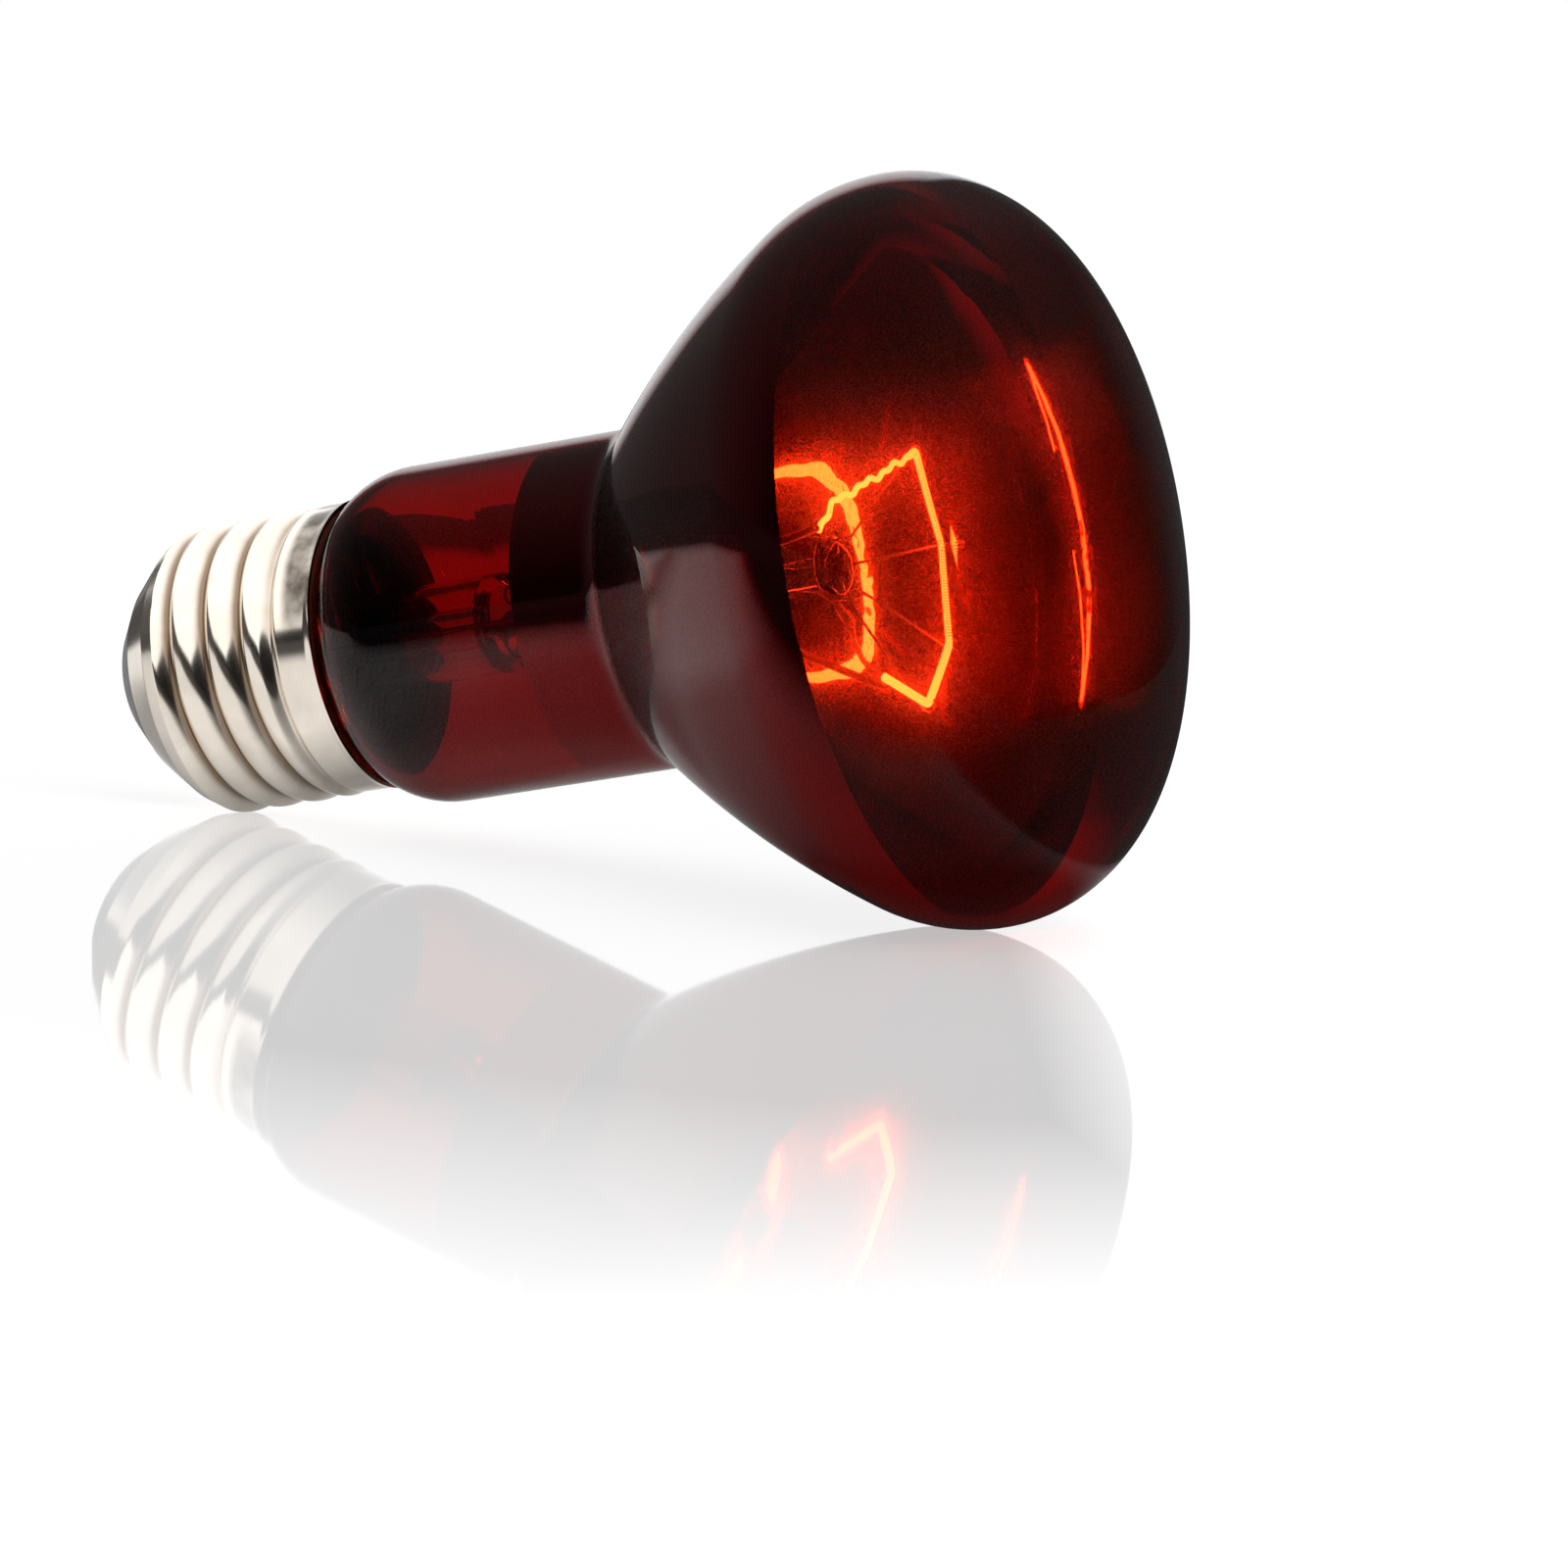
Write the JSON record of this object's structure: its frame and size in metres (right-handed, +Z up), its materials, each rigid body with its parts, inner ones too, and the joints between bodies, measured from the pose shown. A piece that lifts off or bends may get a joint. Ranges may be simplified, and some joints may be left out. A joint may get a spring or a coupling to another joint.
{
  "type": "infrared heat lamp bulb",
  "caption": "Ruby glass reflector heat lamp bulb with a mirrored bowl, a glowing ring filament on wire supports and an E27 screw cap, lying on its side.",
  "frame": {"origin": "middle of the bounding box at floor level, with the lamp lying on the rim of its bowl and the first crest of its thread", "axes": "+X along the lamp towards its face, the axis rising by about 15.8 degrees from the cap to the face; +Z up"},
  "size_m": [0.0972, 0.0664, 0.0649],
  "materials": {
    "ruby_glass": "blown ruby glass, clear and glossy",
    "mirror_aluminium": "vacuum-coated aluminium mirror",
    "nickel_plate": "nickel-plated brass, polished",
    "black_glass": "pressed black glass, glossy",
    "contact_brass": "stamped brass",
    "solder": "tin solder, smooth",
    "basing_cement": "baked basing cement, matte",
    "clear_glass": "clear lead glass",
    "tungsten": "coiled tungsten wire, lit",
    "molybdenum": "drawn molybdenum wire",
    "nickel_wire": "nickel wire",
    "copper_wire": "drawn copper wire"
  },
  "bodies": {
    "root": {"glass_envelope": "ruby_glass", "mirror_film": "mirror_aluminium", "cap_shell": "nickel_plate", "cap_insulator": "black_glass", "centre_contact": "contact_brass", "centre_solder": "solder", "side_solder": "solder", "basing_cement": "basing_cement", "glass_stem": "clear_glass", "exhaust_tube": "clear_glass", "glass_arbor": "clear_glass", "filament": "tungsten", "support_wire_1": "molybdenum", "support_wire_2": "molybdenum", "support_wire_3": "molybdenum", "support_wire_4": "molybdenum", "lead_wire_near": "nickel_wire", "lead_wire_far": "nickel_wire", "tail_wire_centre": "copper_wire", "tail_wire_side": "copper_wire"}
  },
  "joints": []
}
